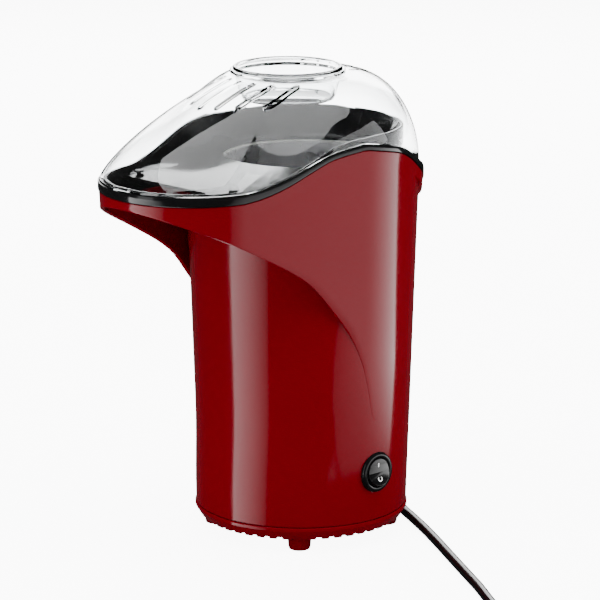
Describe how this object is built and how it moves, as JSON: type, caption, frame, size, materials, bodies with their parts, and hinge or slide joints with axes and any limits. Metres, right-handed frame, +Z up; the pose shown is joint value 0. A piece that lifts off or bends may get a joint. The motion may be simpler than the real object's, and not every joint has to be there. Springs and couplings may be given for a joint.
{
  "type": "popcorn maker",
  "caption": "Hot-air popcorn maker: round red column with an overhanging spout hood, clear domed lid with a measuring cup, side rocker switch and mains lead.",
  "frame": {"origin": "middle of the floor under the appliance, measured without its mains lead", "axes": "+Z up, spout towards -Y, switch on the +X side"},
  "size_m": [0.3645, 0.2845, 0.2879],
  "materials": {
    "red_plastic": "deep gloss red",
    "black_plastic": "gloss black",
    "clear_plastic": "clear polished plastic",
    "aluminium": "spun",
    "silicone": "matt grey silicone",
    "steel": "zinc plated",
    "mica": "mica board",
    "bakelite": "dark moulded heat-proof plastic",
    "board": "phenolic board",
    "copper": "copper windings",
    "magnet": "dark ferrite",
    "rubber": "smooth black",
    "brass": "plain"
  },
  "bodies": {
    "base": {"housing": "red_plastic", "base_cover": "red_plastic", "foot_front_right": "red_plastic", "foot_rear_right": "red_plastic", "foot_rear_left": "red_plastic", "foot_front_left": "red_plastic", "chute": "black_plastic", "switch_body": "black_plastic", "diode_1": "black_plastic", "diode_2": "black_plastic", "diode_3": "black_plastic", "diode_4": "black_plastic", "coil_tie": "black_plastic", "popping_chamber": "aluminium", "chamber_seal": "silicone", "heater_can": "steel", "heater_coil": "steel", "thermal_fuse": "steel", "motor_can": "steel", "motor_screw_left": "steel", "motor_screw_right": "steel", "clamp_screw": "steel", "chute_screw_left": "steel", "chute_screw_right": "steel", "base_screw_front_right": "steel", "base_screw_rear_right": "steel", "base_screw_rear_left": "steel", "base_screw_front_left": "steel", "chassis_screw_front_right": "steel", "chassis_screw_rear_right": "steel", "chassis_screw_rear_left": "steel", "chassis_screw_front_left": "steel", "heater_frame": "mica", "thermostat": "bakelite", "fan_housing": "bakelite", "motor_end_cap": "bakelite", "cord_clamp": "bakelite", "rectifier_board": "board", "motor_magnet_left": "magnet", "motor_magnet_right": "magnet", "motor_grommet_left": "rubber", "motor_grommet_right": "rubber", "strain_relief": "rubber", "power_cord": "rubber", "cord_tail": "rubber", "cord_coil": "rubber", "plug_body": "rubber", "lead_line": "rubber", "lead_load": "rubber", "switch_terminal_line": "brass", "switch_terminal_load": "brass", "plug_pin_left": "brass", "plug_pin_right": "brass"},
    "lid": {"lid": "clear_plastic"},
    "cup": {"measuring_cup": "clear_plastic"},
    "rocker": {"switch_rocker": "black_plastic"},
    "rotor": {"fan": "aluminium", "motor_shaft": "steel", "motor_armature": "copper"}
  },
  "joints": [
    {"name": "lid_lift", "type": "slide", "parent": "base", "child": "lid", "axis": [0, 0, 1], "range_m": [0, 0.12]},
    {"name": "cup_lift", "type": "slide", "parent": "lid", "child": "cup", "axis": [0, 0, 1], "range_m": [0, 0.06]},
    {"name": "rocker_tilt", "type": "hinge", "parent": "base", "child": "rocker", "pos_m": [0.0662, 0.035, 0.0465], "axis": [0, 1, 0], "range_deg": [0, 20]},
    {"name": "fan_spin", "type": "hinge", "parent": "base", "child": "rotor", "pos_m": [0, 0.035, 0.07], "axis": [0, 0, 1], "continuous": true}
  ]
}
